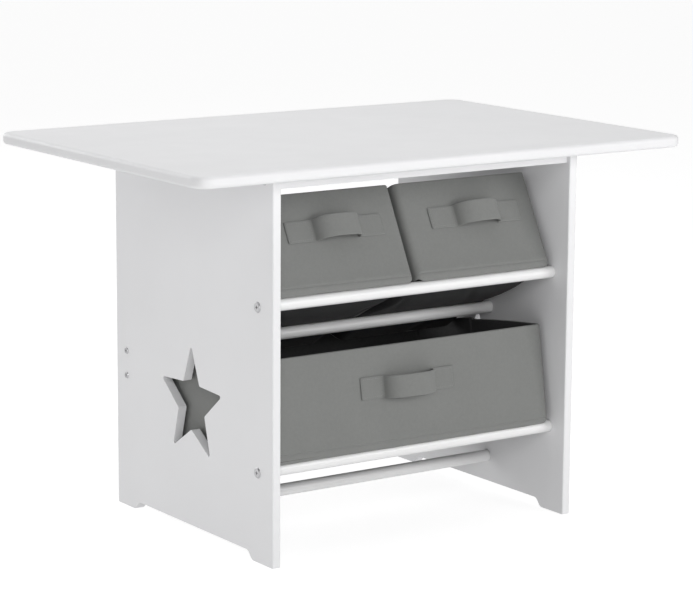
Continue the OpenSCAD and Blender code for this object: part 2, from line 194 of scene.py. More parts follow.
class StageSettings(bpy.types.PropertyGroup):
    """Camera, floor and studio light."""
    camera_place: bpy.props.FloatVectorProperty(
        name="Camera place", description="Where the camera stands", subtype="TRANSLATION",
        unit="LENGTH", size=3, default=(-1.92492, -2.80259, 0.92794))
    camera_turn: bpy.props.FloatVectorProperty(
        name="Camera turn", description="Heading from +Y towards +X, tilt down, and roll",
        subtype="EULER", size=3, default=(0.60409, 0.18629, -0.00659))
    lens: bpy.props.FloatProperty(
        name="Lens", description="Focal length of the camera in millimetres", min=20, max=300,
        default=136.77)
    sky: bpy.props.FloatProperty(
        name="Sky", description="Strength of the even white light from all round", min=0, max=5,
        default=0.16)
    sky_rear: bpy.props.FloatProperty(
        name="Rear sky", description="Strength of the white light from the rear half of the sky",
        min=0, max=5, default=0.9)
    key: bpy.props.FloatProperty(
        name="Key light", description="Power of the soft light at the front left", unit="POWER",
        min=0, max=500, default=20)
    second: bpy.props.FloatProperty(
        name="Second light", description="Power of the soft light at the front right", unit="POWER",
        min=0, max=500, default=23)
    low: bpy.props.FloatProperty(
        name="Low light", description="Power of the light that shines in between the rods",
        unit="POWER", min=0, max=500, default=3.9)
    overhead: bpy.props.FloatProperty(
        name="Overhead light", description="Power of the soft light above the table", unit="POWER",
        min=0, max=500, default=19)
    rear_fill: bpy.props.FloatProperty(
        name="Rear fill", description="Power of the soft light behind the table", unit="POWER",
        min=0, max=500, default=24)
    side_fill: bpy.props.FloatProperty(
        name="Side fill", description="Power of the low light beside the left end", unit="POWER",
        min=0, max=500, default=0.75)
    floor_colour: bpy.props.FloatVectorProperty(
        name="Floor colour", description="Colour of the pale floor", subtype="COLOR", size=3,
        min=0, max=1, default=(0.36, 0.36, 0.36))
    floor_glow: bpy.props.FloatProperty(
        name="Floor glow", description="Light that comes up through the pale floor", min=0, max=1,
        default=0.48)
    floor_white: bpy.props.FloatProperty(
        name="Floor white", description="How much whiter the floor looks than it shines on the table",
        min=0, max=1, default=0.34)


# ---- shared helpers ----

def settings(group):
    return getattr(bpy.context.scene, group)


def smoothstep(x):
    x = max(0.0, min(1.0, x))
    return x * x * (3 - 2 * x)


def add_node(tree, kind, values=(), **attributes):
    """A shader node with attributes, input values and links from output sockets."""
    made = tree.nodes.new(kind)
    for key, value in attributes.items():
        setattr(made, key, value)
    for key, value in dict(values).items():
        if isinstance(value, bpy.types.NodeSocket):
            tree.links.new(value, made.inputs[key])
        else:
            made.inputs[key].default_value = value
    return made


def new_material(name, roughness, **values):
    """A material with its Principled shader; the values are set on the shader's own sockets."""
    made = bpy.data.materials.new(name)
    made.use_nodes = True
    shader = made.node_tree.nodes["Principled BSDF"]
    shader.inputs["Roughness"].default_value = roughness
    for key, value in values.items():
        shader.inputs[key.replace("_", " ")].default_value = value
    return made, made.node_tree, shader


def tint(colour, share):
    return tuple(min(1.0, c * share) for c in colour) + (1.0,)


def mix_colour(tree, factor, first, second):
    mix = add_node(tree, "ShaderNodeMix", data_type="RGBA")
    tree.links.new(factor, mix.inputs["Factor"])
    mix.inputs[MIX_A].default_value = first
    mix.inputs[MIX_B].default_value = second
    return mix.outputs[MIX_RESULT]


def spread(tree, factor, low, high):
    """The factor's middle range stretched from low to high."""
    made = add_node(tree, "ShaderNodeMapRange", {
        "Value": factor, "From Min": 0.3, "From Max": 0.7, "To Min": low, "To Max": high})
    return made.outputs["Result"]


def finish_piece(obj_name, mesh, material, body, turn=None):
    """A piece at the origin that rides on a body, with its place in its mesh."""
    if turn is not None:
        mesh.transform(turn)
    obj = bpy.data.objects.new(obj_name, mesh)
    bpy.context.collection.objects.link(obj)
    mesh.materials.append(material)
    for face in mesh.polygons:
        face.use_smooth = True
    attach(obj, body)
    return obj


def mesh_of(bm, name):
    mesh = bpy.data.meshes.new(name)
    bm.to_mesh(mesh)
    bm.free()
    return mesh


def repaint(nodes, material):
    """Gives CAD nodes a better material."""
    for name in nodes:
        for place in frame["nodes"][name].material_slots:
            place.material = material


# ---- finishes ----

def painted_board():
    paint = settings("table_paint")
    made, tree, shader = new_material("painted board", paint.roughness, Specular_IOR_Level=0.4,
                                      Coat_Weight=0.06, Coat_Roughness=0.3)
    place = add_node(tree, "ShaderNodeTexCoord").outputs["Object"]
    cloud = add_node(tree, "ShaderNodeTexNoise", {"Vector": place, "Scale": 7.0, "Detail": 3.0})
    base = mix_colour(tree, spread(tree, cloud.outputs["Fac"], 0, 1),
                      tint(paint.board_colour, 0.985), tint(paint.board_colour, 1.01))
    tree.links.new(base, shader.inputs["Base Color"])
    sheen = add_node(tree, "ShaderNodeTexNoise", {"Vector": place, "Scale": 22.0, "Detail": 2.0})
    tree.links.new(spread(tree, sheen.outputs["Fac"], paint.roughness - 0.03, paint.roughness + 0.05),
                   shader.inputs["Roughness"])
    ripple = add_node(tree, "ShaderNodeTexNoise", {"Vector": place, "Scale": 420.0, "Detail": 1.0})
    bump = add_node(tree, "ShaderNodeBump", {"Strength": 0.35, "Distance": paint.orange_peel,
                                             "Height": ripple.outputs["Fac"]})
    tree.links.new(bump.outputs["Normal"], shader.inputs["Normal"])
    return made


def painted_rod():
    paint = settings("table_paint")
    made, tree, shader = new_material("painted rod", 0.36, Specular_IOR_Level=0.45,
                                      Coat_Weight=0.12, Coat_Roughness=0.22)
    place = add_node(tree, "ShaderNodeTexCoord").outputs["Object"]
    along = add_node(tree, "ShaderNodeMapping", {"Vector": place, "Scale": (3.0, 90.0, 90.0)})
    grain = add_node(tree, "ShaderNodeTexNoise", {"Vector": along.outputs["Vector"], "Scale": 4.0,
                                                  "Detail": 3.0})
    base = mix_colour(tree, spread(tree, grain.outputs["Fac"], 0, 1),
                      tint(paint.rod_colour, 0.975), tint(paint.rod_colour, 1.01))
    tree.links.new(base, shader.inputs["Base Color"])
    bump = add_node(tree, "ShaderNodeBump", {"Strength": 0.3, "Distance": paint.orange_peel,
                                             "Height": grain.outputs["Fac"]})
    tree.links.new(bump.outputs["Normal"], shader.inputs["Normal"])
    return made


def plated_steel():
    steel = settings("table_steel")
    made, tree, shader = new_material("plated steel", steel.roughness, Metallic=1.0)
    place = add_node(tree, "ShaderNodeTexCoord").outputs["Object"]
    mottle = add_node(tree, "ShaderNodeTexNoise", {"Vector": place, "Scale": 900.0, "Detail": 3.0})
    base = mix_colour(tree, spread(tree, mottle.outputs["Fac"], 0, 1),
                      tint(steel.colour, 0.86), tint(steel.colour, 1.05))
    tree.links.new(base, shader.inputs["Base Color"])
    tree.links.new(spread(tree, mottle.outputs["Fac"], steel.roughness - 0.06,
                          steel.roughness + 0.12), shader.inputs["Roughness"])
    brushed = add_node(tree, "ShaderNodeTexNoise", {"Vector": place, "Scale": 2600.0})
    bump = add_node(tree, "ShaderNodeBump", {"Strength": 0.2, "Distance": 0.00004,
                                             "Height": brushed.outputs["Fac"]})
    tree.links.new(bump.outputs["Normal"], shader.inputs["Normal"])
    return made


def bonded_cloth(name, colour, contrast, sheen):
    """Non-woven cloth: fine fibres, with rows of small dots pressed in where it is bonded."""
    cloth = settings("bin_fabric")
    made, tree, shader = new_material(name, cloth.roughness, Specular_IOR_Level=0.18,
                                      Sheen_Weight=sheen, Sheen_Roughness=0.55)
    coords = add_node(tree, "ShaderNodeTexCoord")
    place, surface = coords.outputs["Object"], coords.outputs["UV"]
    pitch = 1.0 / cloth.dot_pitch
    lattice = add_node(tree, "ShaderNodeMapping", {
        "Vector": surface, "Rotation": (0, 0, math.radians(45)), "Scale": (pitch, pitch, pitch)})
    dots = add_node(tree, "ShaderNodeTexVoronoi", {
        "Vector": lattice.outputs["Vector"], "Scale": 1.0, "Randomness": 0.08},
        voronoi_dimensions="2D")
    raised = add_node(tree, "ShaderNodeMapRange", {
        "Value": dots.outputs["Distance"], "From Min": 0.16, "From Max": 0.34,
        "To Min": 0.0, "To Max": 1.0}, interpolation_type="SMOOTHSTEP").outputs["Result"]
    fibre = add_node(tree, "ShaderNodeTexNoise", {
        "Vector": surface, "Scale": 1500.0, "Detail": 3.0, "Distortion": 1.4},
        noise_dimensions="2D").outputs["Fac"]
    cloud = add_node(tree, "ShaderNodeTexNoise", {
        "Vector": place, "Scale": 16.0, "Detail": 4.0, "Roughness": 0.6}).outputs["Fac"]
    fleck = add_node(tree, "ShaderNodeTexNoise", {
        "Vector": place, "Scale": 260.0, "Detail": 2.0}).outputs["Fac"]
    height = add_node(tree, "ShaderNodeMath", {0: raised, 1: fibre}, operation="ADD")
    shade = add_node(tree, "ShaderNodeMath", {0: cloud, 1: fleck}, operation="ADD")
    shade = add_node(tree, "ShaderNodeMath", {0: shade.outputs[0], 1: 0.5}, operation="MULTIPLY")
    wide = mix_colour(tree, spread(tree, shade.outputs[0], 0, 1),
                      tint(colour, 1 - contrast), tint(colour, 1 + contrast))
    base = add_node(tree, "ShaderNodeMix", data_type="RGBA", blend_type="MULTIPLY")
    base.inputs["Factor"].default_value = 1.0
    tree.links.new(wide, base.inputs[MIX_A])
    pressed = mix_colour(tree, raised, (0.86, 0.86, 0.86, 1.0), (1.0, 1.0, 1.0, 1.0))
    tree.links.new(pressed, base.inputs[MIX_B])
    tree.links.new(base.outputs[MIX_RESULT], shader.inputs["Base Color"])
    bump = add_node(tree, "ShaderNodeBump", {"Strength": 0.5, "Distance": 0.00012,
                                             "Height": height.outputs[0]})
    tree.links.new(bump.outputs["Normal"], shader.inputs["Normal"])
    return made


def raw_greyboard():
    made, tree, shader = new_material("raw greyboard", 0.9, Specular_IOR_Level=0.2)
    colour = settings("bin_fabric").greyboard_colour
    place = add_node(tree, "ShaderNodeTexCoord").outputs["Object"]
    pulp = add_node(tree, "ShaderNodeTexNoise", {"Vector": place, "Scale": 350.0, "Detail": 4.0,
                                                 "Distortion": 0.8})
    base = mix_colour(tree, spread(tree, pulp.outputs["Fac"], 0, 1),
                      tint(colour, 0.8), tint(colour, 1.15))
    tree.links.new(base, shader.inputs["Base Color"])
    return made


def sewing_thread():
    made, tree, shader = new_material("sewing thread", 0.6, Sheen_Weight=0.2, Sheen_Roughness=0.4)
    colour = settings("bin_fabric").cover_colour
    place = add_node(tree, "ShaderNodeTexCoord").outputs["Object"]
    twist = add_node(tree, "ShaderNodeTexNoise", {"Vector": place, "Scale": 2200.0, "Detail": 1.0})
    base = mix_colour(tree, spread(tree, twist.outputs["Fac"], 0, 1),
                      tint(colour, 0.95), tint(colour, 1.3))
    tree.links.new(base, shader.inputs["Base Color"])
    return made


def finish(name):
    """A material by its name, made once."""
    cloth = settings("bin_fabric")
    known = bpy.data.materials.get(name)
    if known is not None:
        return known
    return {
        "painted board": painted_board,
        "painted rod": painted_rod,
        "plated steel": plated_steel,
        "raw greyboard": raw_greyboard,
        "sewing thread": sewing_thread,
        "cover cloth": lambda: bonded_cloth("cover cloth", cloth.cover_colour,
                                            contrast=0.045, sheen=0.12),
        "lining cloth": lambda: bonded_cloth("lining cloth", cloth.lining_colour,
                                             contrast=0.16, sheen=0.05),
        "underside cloth": lambda: bonded_cloth("underside cloth", cloth.underside_colour,
                                                contrast=0.2, sheen=0.04),
    }[name]()


# ---- shape of a bin, from its CAD nodes ----

class BinShape:
    """Where a bin stands and its size. Its own frame has x from the middle of its front, y back
    from the front and z up from the floor."""

    def __init__(self, name):
        self.name = name
        slide = next(Vector(j["axis"]) for j in frame["joints"] if j["child"] == name)
        turn = Matrix.Rotation(-math.atan2(slide.z, -slide.y), 4, "X")
        cover = self.turned(turn, name + "_cover")
        under = self.turned(turn, name + "_underside")
        x = [p.x for p in cover]
        y = [p.y for p in cover]
        corner = Vector(((min(x) + max(x)) / 2, min(y), min(p.z for p in under)))
        self.width, self.depth = max(x) - min(x), max(y) - min(y)
        self.front_h = max(p.z for p in cover if p.y < min(y) + MM) - corner.z
        self.rise = max(p.z for p in cover) - corner.z - self.front_h
        self.large = self.rise > 1e-5
        self.place = Matrix.Translation(turn @ corner) @ turn
        strap = [self.place.inverted() @ v.co for v in frame["nodes"][name + "_handle"].data.vertices]
        self.strap_half = max(p.x for p in strap)
        self.strap_z = (min(p.z for p in strap), max(p.z for p in strap))
        self.loop_out = -min(p.y for p in strap)
        self.loop_half = max(p.x for p in strap if p.y < -0.2 * self.loop_out) + LOOP_SLACK[name] * MM
        self.sewn_off = SEWN_OFF[name] * MM
        self.rods = self.rod_lines()
        self.fold_line = self.depth / 2 + 8 * MM

    @staticmethod
    def turned(turn, node):
        back = turn.inverted()
        return [back @ v.co for v in frame["nodes"][node].data.vertices]

    def rod_lines(self):
        """How far back from the front the rods under the bin touch it."""
        found = []
        for node in ROD_NODES:
            lo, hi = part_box(node)
            axis = self.place.inverted() @ ((lo + hi) / 2)
            if abs(axis.z + (hi.z - lo.z) / 2) < 2 * MM and 0 < axis.y < self.depth:
                found.append(axis.y)
        return sorted(found)

    def rim(self, y):
        return self.front_h + self.rise * y / self.depth

    def crown(self, y, z):
        """How far a point rises towards the rim, whose sides stand up where the bin folds flat."""
        if not self.large:
            return 0.0
        arch = math.sin(math.pi * max(0.0, min(1.0, y / (0.86 * self.depth))))
        if y > self.fold_line:
            arch += 0.65 * smoothstep(1 - (y - self.fold_line) / (0.3 * self.depth))
        return settings("bin_shape").crown * arch * smoothstep(z / self.front_h * 2.5 - 1.5)

    def rumple(self, u, v, side):
        """Soft waves in a wall, from -1 to 1; u runs along the wall and v up it."""
        seed = CREASE[self.name] + 5.3 * side
        wide = noise.noise(Vector((u * 13, v * 17, seed)))
        fine = noise.noise(Vector((u * 55, v * 38, seed + 9.0)))
        return wide + 0.22 * fine

    def bulge(self, along, length, z, side):
        """How far the fabric of a wall stands off its board."""
        bins = settings("bin_shape")
        across = math.sin(math.pi * max(0.0, min(1.0, along / length + 0.5)))
        up = math.sin(math.pi * max(0.0, min(1.0, z / self.front_h)))
        waves = 0.5 + 0.5 * self.rumple(along, z, side)
        return across ** 0.5 * up ** 0.7 * (bins.bulge * across + bins.rumple * waves)


def sliced(bm, step, spans):
    """Cuts the whole mesh into strips across X, Y and Z, so that it can be shaped."""
    for axis, (low, high) in enumerate(spans):
        count = max(1, round((high - low) / step))
        normal = Vector((0, 0, 0))
        normal[axis] = 1
        for i in range(count + 1):
            slice_at(bm, normal * (low + (high - low) * i / count), normal)


def slice_at(bm, point, normal):
    bmesh.ops.bisect_plane(bm, geom=bm.verts[:] + bm.edges[:] + bm.faces[:], dist=1e-6,
                           plane_co=point, plane_no=normal)


def facing(bm, direction):
    """The flat faces of a fresh box that point one way."""
    bm.normal_update()
    return [f for f in bm.faces if f.normal.dot(direction) > 0.9]


def between(bm, first, second):
    """Edges where faces of one set meet faces of the other."""
    first, second = set(first), set(second)
    return [e for e in bm.edges
            if len(e.link_faces) == 2 and any(f in first for f in e.link_faces)
            and any(f in second for f in e.link_faces)]


def rounded_box(shape, inset, low, corner_r, foot_r):
    """A box inside a bin's outline, its upright corners and lower edge rounded and its top sloped."""
    bm = bmesh.new()
    w, d = shape.width - 2 * inset, shape.depth - 2 * inset
    h = shape.front_h - low
    bmesh.ops.create_cube(bm, size=1.0, matrix=Matrix.Translation((0, shape.depth / 2, low + h / 2))
                          @ Matrix.Diagonal((w, d, h, 1.0)))
    for v in bm.verts:
        if v.co.z > low + h / 2:
            v.co.z = shape.rim(v.co.y)
    upright = [e for e in bm.edges if abs(e.verts[0].co.z - e.verts[1].co.z) > h / 2]
    bmesh.ops.bevel(bm, geom=upright, offset=corner_r, offset_type="OFFSET", segments=6,
                    profile=0.5, affect="EDGES", material=-1)
    floor = facing(bm, Vector((0, 0, -1)))
    bmesh.ops.bevel(bm, geom=[e for f in floor for e in f.edges], offset=foot_r,
                    offset_type="OFFSET", segments=3, profile=0.5, affect="EDGES", material=-1)
    return bm


def lay_flat(bm):
    """A UV map in metres: each face is laid out by the two axes that it faces least."""
    bm.normal_update()
    layer = bm.loops.layers.uv.new("cloth")
    for face in bm.faces:
        n = [abs(c) for c in face.normal]
        drop = n.index(max(n))
        u, v = [a for a in (0, 1, 2) if a != drop]
        for loop in face.loops:
            loop[layer].uv = (loop.vert.co[u] + 2 * drop, loop.vert.co[v])


def thicken(obj, thickness, levels=1):
    """Gives cloth its thickness behind its face, and rounds its edges."""
    wall = obj.modifiers.new("thickness", "SOLIDIFY")
    wall.thickness, wall.offset, wall.use_even_offset = thickness, -1.0, True
    soft = obj.modifiers.new("softness", "SUBSURF")
    soft.levels = soft.render_levels = levels


def cover_mesh(shape):
    """The outer fabric: four walls with soft corners and a turned-over rim, open at the floor."""
    bins = settings("bin_shape")
    bm = rounded_box(shape, 0.0, 0.0, bins.corner_radius, 3.2 * MM)
    walls = [f for f in bm.faces if abs(f.normal.z) < 0.3]
    top = facing(bm, Vector((0, 0, 1)))
    ring = bmesh.ops.inset_region(bm, faces=top, thickness=bins.rim_width,
                                  use_even_offset=True)["faces"]
    bmesh.ops.delete(bm, geom=top + facing(bm, Vector((0, 0, -1))), context="FACES")
    bm.normal_update()
    walls = [f for f in bm.faces if abs(f.normal.z) < 0.3]
    bmesh.ops.bevel(bm, geom=between(bm, ring, walls), offset=1.5 * MM, offset_type="OFFSET",
                    segments=3, profile=0.5, affect="EDGES", material=-1)
    side = shape.width / 2 - bins.corner_radius
    sliced(bm, 8 * MM, ((-side, side), (bins.corner_radius, shape.depth - bins.corner_radius),
                        (10 * MM, shape.front_h - 4 * MM)))
    for off in (-1.0, 1.0):
        slice_at(bm, (0, shape.fold_line + off * MM, 0), (0, 1, 0))
    for off in (-1.3, -0.45, 0.0, 0.45, 1.3):
        slice_at(bm, (0, 0, bins.lip_height + off * MM), (0, 0, 1))
    bm.normal_update()
    for v in bm.verts:
        shape_cover(shape, v, bins)
    lay_flat(bm)
    return mesh_of(bm, shape.name + "_fabric_cover")


def shape_cover(shape, v, bins):
    """Moves one point of the cover: the bulge and waves of the walls, and the front's lower lip."""
    x, y, z = v.co
    out = Vector((v.normal.x, v.normal.y, 0))
    if out.length > 0.5:
        out.normalize()
        if abs(out.y) > abs(out.x):
            stand = shape.bulge(x, shape.width, z, 0 if out.y < 0 else 1)
        else:
            stand = shape.bulge(y - shape.depth / 2, shape.depth, z, 2 if out.x < 0 else 3)
        v.co += out * stand
    if y < FRONT_SKIN:
        shape_lip(shape, v, Vector((x, y, z)), bins)
    foot = 30 * MM
    if y > shape.depth - FRONT_SKIN and z < foot:
        v.co.z -= bins.droop * slack_share(shape) * rear_droop(shape, x, y) * smoothstep(1 - z / foot)
    v.co.z += shape.crown(y, z)


def shape_lip(shape, v, was, bins):
    """Moves one point of the front: a crease at the lip's height, and the lip that turns under."""
    up = was.z - bins.lip_height
    across = smoothstep((shape.width / 2 - abs(was.x)) / (9 * MM))
    crease = max(0.0, 1 - abs(up) / (1.3 * MM))
    proud = smoothstep(1 - (up - 1.3 * MM) / (8 * MM)) if up > 1.2 * MM else 0.0
    v.co.y += (0.9 * crease - 1.0 * proud) * MM * across
    lean = 0.4 * min(1.0, was.x / shape.width) * smoothstep(1 - abs(up) / (7 * MM))
    v.co.z -= bins.lip_height * lean * (2.0 if shape.large else 0.8)
    if up < 0:
        near = across * smoothstep((FRONT_SKIN - was.y) / (4 * MM))
        down = -up / bins.lip_height
        wavy = 1 + 0.18 * noise.noise(Vector((was.x * 22, 0, CREASE[shape.name])))
        v.co.z -= near * down * bins.lip_drop * wavy
        v.co.y += near * down ** 1.3 * 2.0 * MM


def slack_share(shape):
    """How far a bin's cloth hangs under its floor, as a share of what a small bin's does."""
    return 0.35 if shape.large else 1.0


def lining_mesh(shape):
    """The dark lining: walls and floor, with a hem turned over below the rim."""
    bins = settings("bin_shape")
    gap, hem = LINING_GAP, 9 * MM
    bm = rounded_box(shape, gap, gap, bins.corner_radius - gap + 1.2 * MM, 2.5 * MM)
    bmesh.ops.delete(bm, geom=facing(bm, Vector((0, 0, 1))), context="FACES")
    side = shape.width / 2 - bins.corner_radius - 1 * MM
    sliced(bm, 9 * MM, ((-side, side), (bins.corner_radius + MM, shape.depth - bins.corner_radius - MM),
                        (12 * MM, shape.front_h - 14 * MM)))
    slope = Vector((0, -shape.rise, shape.depth)).normalized()
    for below in (hem, hem + 0.7 * MM):
        slice_at(bm, (0, 0, shape.front_h - below), slope)
    for off in (-3.0, -0.9, -0.3, 0.3, 0.9, 3.0):
        slice_at(bm, (0, shape.fold_line + off * MM, 0), (0, 1, 0))
    bm.normal_update()
    for v in bm.verts:
        x, y, z = v.co
        below = shape.rim(y) - z
        out = Vector((v.normal.x, v.normal.y, 0))
        if below < 0.2 * MM:
            v.co.z -= 0.9 * MM
        if out.length > 0.5:
            slack = 0.5 + 0.5 * shape.rumple(x + y, z, 6)
            fade = smoothstep((below - 1 * MM) / (20 * MM)) * smoothstep((z - gap) / (8 * MM))
            v.co -= out.normalized() * (1.3 * MM * slack * fade + (0.75 * MM if below < hem + 1e-5 else 0))
            if abs(out.x) > abs(out.y):
                v.co.x -= math.copysign(side_fold(y - shape.fold_line, shape.depth), x)
        elif z < gap + 2 * MM:
            inner = smoothstep((shape.width / 2 - gap - abs(x)) / (14 * MM))
            inner *= smoothstep(min(y, shape.depth - y) / (14 * MM) - 0.2)
            v.co.z += inner * 1.4 * MM * (0.5 + 0.5 * shape.rumple(x, y, 7))
        v.co.z += shape.crown(y, z)
    lay_flat(bm)
    return mesh_of(bm, shape.name + "_inner_lining")


def side_fold(off, depth):
    """How far a side wall's lining stands in behind the line where the bin folds flat."""
    return 2.6 * MM * max(0.0, 1 - off / (0.5 * depth - 20 * MM)) if off > 0 else 0.0


def hang(shape, x, y, depth, droop):
    """How far the loose underside hangs at a point of the floor."""
    start, end = shape.rods[0] + 1.5 * MM, shape.rods[-1] - 1.5 * MM
    side = smoothstep((shape.width / 2 - UNDER_INSET - abs(x)) / (5 * MM))
    uneven = 1 + 0.2 * noise.noise(Vector((x * 16, y * 20, CREASE[shape.name] + 3)))
    if start < y < end:
        t = (y - start) / (end - start)
        return depth * math.sin(math.pi * t ** 0.75) ** 0.8 * side * uneven
    if y > shape.rods[-1] + 1.5 * MM:
        return droop * rear_droop(shape, x, y)
    return 0.0


def rear_droop(shape, x, y):
    """How the floor bends down behind the rear rod, from 0 at the rod and the corners to 1."""
    behind = smoothstep((y - shape.rods[-1]) / (shape.depth - shape.rods[-1]))
    return behind * smoothstep((shape.width / 2 - 4 * MM - abs(x)) / (15 * MM))


def fold(x, y, start, end, width):
    """A fold along a line, 1 on the line and fading to its sides and ends."""
    line, point = Vector(end) - Vector(start), Vector((x, y)) - Vector(start)
    t = point.dot(line) / line.length_squared
    if not 0 < t < 1:
        return 0.0
    off = (point - line * t).length
    return math.exp(-(off / width) ** 2) * math.sin(math.pi * t) ** 0.5


def underside_mesh(shape):
    """The dark cloth under the floor, loose between the rods."""
    bins = settings("bin_shape")
    inset = UNDER_INSET
    w, d = shape.width - 2 * inset, shape.depth - 2 * inset
    bm = bmesh.new()
    bmesh.ops.create_grid(bm, x_segments=1, y_segments=1, size=0.5,
                          matrix=Matrix.Translation((0, shape.depth / 2, 0))
                          @ Matrix.Diagonal((w, d, 1, 1)))
    bmesh.ops.bevel(bm, geom=bm.verts[:], offset=bins.corner_radius - inset, offset_type="OFFSET",
                    segments=4, profile=0.5, affect="VERTICES", material=-1)
    bmesh.ops.reverse_faces(bm, faces=bm.faces[:])
    edge = 1.5 * MM
    sliced(bm, 5 * MM, ((-w / 2 + edge, w / 2 - edge), (inset + edge, shape.depth - inset - edge)))
    share = slack_share(shape)
    for v in bm.verts:
        x, y, _ = v.co
        down = hang(shape, x, y, bins.sag * share, bins.droop * share)
        ridge = sum(fold(x / MM, y / MM, a, b, width) for a, b, width in FOLDS[shape.name])
        v.co.z = 0.1 * MM - down * (1 - 0.28 * min(1.0, ridge))
    lay_flat(bm)
    return mesh_of(bm, shape.name + "_loose_underside")


def strap_path(shape, thickness):
    """The strap's inner line along the front of the bin: x, and how far it stands out."""
    handle = settings("bin_handle")
    half, out = shape.loop_half - thickness, shape.loop_out - thickness
    tab = shape.strap_half - shape.loop_half
    path = [(-shape.strap_half + tab * i / TAB_STEPS, 0.0) for i in range(TAB_STEPS)]
    power = 2 / handle.squareness
    for i in range(LOOP_STEPS + 1):
        a = math.pi * (1 - i / LOOP_STEPS)
        c, s = math.cos(a), math.sin(a)
        path.append((half * math.copysign(abs(c) ** power, c), out * abs(s) ** power))
    path += [(shape.loop_half + tab * (i + 1) / TAB_STEPS, 0.0) for i in range(TAB_STEPS)]
    return path


def handle_mesh(shape):
    """A folded strap, extruded along its line and softened where the loop leaves the wall."""
    thickness = settings("bin_handle").thickness
    low, high = shape.strap_z
    bm = bmesh.new()
    path = strap_path(shape, thickness)
    ends = [bm.verts.new((path[0][0], -path[0][1], z)) for z in (high, low)]
    edge = bm.edges.new(ends)
    for (x0, out0), (x1, out1) in zip(path, path[1:]):
        grown = bmesh.ops.extrude_edge_only(bm, edges=[edge])["geom"]
        moved = [g for g in grown if isinstance(g, bmesh.types.BMVert)]
        bmesh.ops.translate(bm, verts=moved, vec=(x1 - x0, out0 - out1, 0))
        edge = next(g for g in grown if isinstance(g, bmesh.types.BMEdge)
                    and all(v in moved for v in g.verts))
    for share in (0.06, 0.3, 0.5, 0.7, 0.94):
        slice_at(bm, (0, 0, low + (high - low) * share), (0, 0, 1))
    for _ in range(2):
        bmesh.ops.smooth_vert(bm, verts=[v for v in bm.verts if -v.co.y > 0.1 * MM],
                              factor=0.5, use_axis_x=True, use_axis_y=True, use_axis_z=False)
    bm.normal_update()
    if sum(f.normal.y for f in bm.faces) > 0:
        bmesh.ops.reverse_faces(bm, faces=bm.faces[:])
    middle = (low + high) / 2
    for v in bm.verts:
        x, out, z = v.co.x, -v.co.y, v.co.z
        standing = out / shape.loop_out
        droop = (z - middle) * 0.05 * standing
        wall = shape.bulge(x + shape.sewn_off, shape.width, z, 0) * (1 - smoothstep(standing * 4))
        v.co.x += shape.sewn_off
        v.co.y -= wall + thickness + 0.15 * MM + droop
        v.co.z -= 1.2 * MM * standing * (1 + 0.4 * noise.noise(Vector((x * 30, 0, CREASE[shape.name]))))
    lay_flat(bm)
    return mesh_of(bm, shape.name + "_strap")


def stitched_tabs(shape):
    """A box of stitches on each of the strap's tabs."""
    handle = settings("bin_handle")
    low, high = shape.strap_z
    inset = 3.2 * MM
    bm = bmesh.new()
    for side in (-1, 1):
        x0, x1 = sorted((side * (shape.strap_half - inset), side * (shape.loop_half + 1.5 * MM)))
        z0, z1 = low + inset, high - inset
        corners = [(x0, z0), (x1, z0), (x1, z1), (x0, z1), (x0, z0)]
        for (ax, az), (bx, bz) in zip(corners, corners[1:]):
            run = math.hypot(bx - ax, bz - az)
            count = max(1, round(run / handle.stitch_pitch))
            for i in range(count):
                t = (i + 0.5) / count
                x, z = ax + (bx - ax) * t + shape.sewn_off, az + (bz - az) * t
                stand = shape.bulge(x, shape.width, z, 0) + handle.thickness + 0.22 * MM
                lay = Matrix.Rotation(-math.atan2(bz - az, bx - ax), 4, "Y")
                size = Matrix.Diagonal((handle.stitch_length / 2, 0.28 * MM, 0.3 * MM, 1.0))
                bmesh.ops.create_icosphere(
                    bm, subdivisions=1, radius=1.0,
                    matrix=Matrix.Translation((x, -stand, z)) @ lay @ size)
    return mesh_of(bm, shape.name + "_strap_stitches")


def hem_stitches(shape):
    """A row of stitches round the inside of the bin, through the lining's hem."""
    handle, bins = settings("bin_handle"), settings("bin_shape")
    inside = LINING_GAP + bins.cloth_thickness + 0.75 * MM
    x1, y0, y1 = shape.width / 2 - inside, inside, shape.depth - inside
    bm = bmesh.new()
    corners = [(-x1, y0), (x1, y0), (x1, y1), (-x1, y1), (-x1, y0)]
    for (ax, ay), (bx, by) in zip(corners, corners[1:]):
        run = math.hypot(bx - ax, by - ay)
        margin = bins.corner_radius
        count = round((run - 2 * margin) / (handle.stitch_pitch * 1.15))
        for i in range(count):
            t = (margin + (run - 2 * margin) * (i + 0.5) / count) / run
            x, y = ax + (bx - ax) * t, ay + (by - ay) * t
            z = shape.rim(y) - 6.5 * MM
            z += shape.crown(y, z)
            lay = Matrix.Rotation(math.atan2(by - ay, bx - ax), 4, "Z")
            size = Matrix.Diagonal((handle.stitch_length / 2, 0.26 * MM, 0.28 * MM, 1.0))
            bmesh.ops.create_icosphere(
                bm, subdivisions=1, radius=1.0,
                matrix=Matrix.Translation((x, y, z)) @ lay @ size)
    return mesh_of(bm, shape.name + "_hem_stitches")


# ---- operators ----

class PaintBoards(bpy.types.Operator):
    """Paint the table top, the sides, the rails and the stretcher"""
    bl_idname = "activity_table.paint_boards"
    bl_label = "Paint the boards"

    def execute(self, context):
        repaint(BOARD_NODES, finish("painted board"))
        return {"FINISHED"}


class PaintRods(bpy.types.Operator):
    """Paint the five round rods"""
    bl_idname = "activity_table.paint_rods"
    bl_label = "Paint the rods"

    def execute(self, context):
        repaint(ROD_NODES, finish("painted rod"))
        return {"FINISHED"}


class PlateScrews(bpy.types.Operator):
    """Plate the bolts and screws"""
    bl_idname = "activity_table.plate_screws"
    bl_label = "Plate the screws"

    def execute(self, context):
        repaint(SCREW_NODES, finish("plated steel"))
        return {"FINISHED"}


